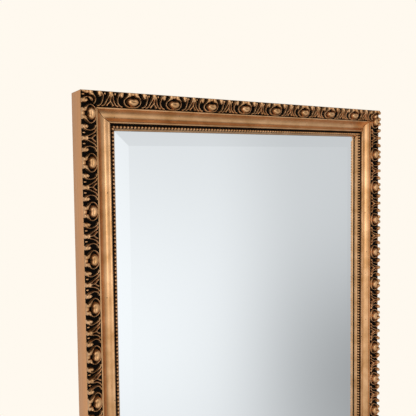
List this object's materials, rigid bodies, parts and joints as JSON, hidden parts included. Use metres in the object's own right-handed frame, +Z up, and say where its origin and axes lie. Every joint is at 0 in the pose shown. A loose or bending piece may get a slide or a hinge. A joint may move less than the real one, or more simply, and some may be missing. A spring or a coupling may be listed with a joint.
{
  "type": "wall mirror",
  "caption": "Rectangular wall mirror with a bevelled glass in a deep mitred gilt frame, its outer band carved with ringed hearts and scrolls, a hollow and a beaded inner edge.",
  "frame": {"origin": "on the flat back of the top rail, at the middle of its width and of its length, where the wall fixing bears", "axes": "+Y out of the back into the wall, so the glass faces -Y; +Z up along the long side; +X to the right as seen from the front"},
  "size_m": [0.5588, 0.0417, 0.762],
  "materials": {
    "gilt_moulding": "wood moulding with pressed gesso ornament, old satin gilt paint worn over a near-black ground",
    "silvered_glass": "clear silvered plate with a wide polished bevel",
    "hardboard": "plain brown hardboard"
  },
  "bodies": {
    "root": {"frame_top": "gilt_moulding", "frame_right": "gilt_moulding", "frame_bottom": "gilt_moulding", "frame_left": "gilt_moulding", "mirror_glass": "silvered_glass", "backing_board": "hardboard"}
  },
  "joints": []
}
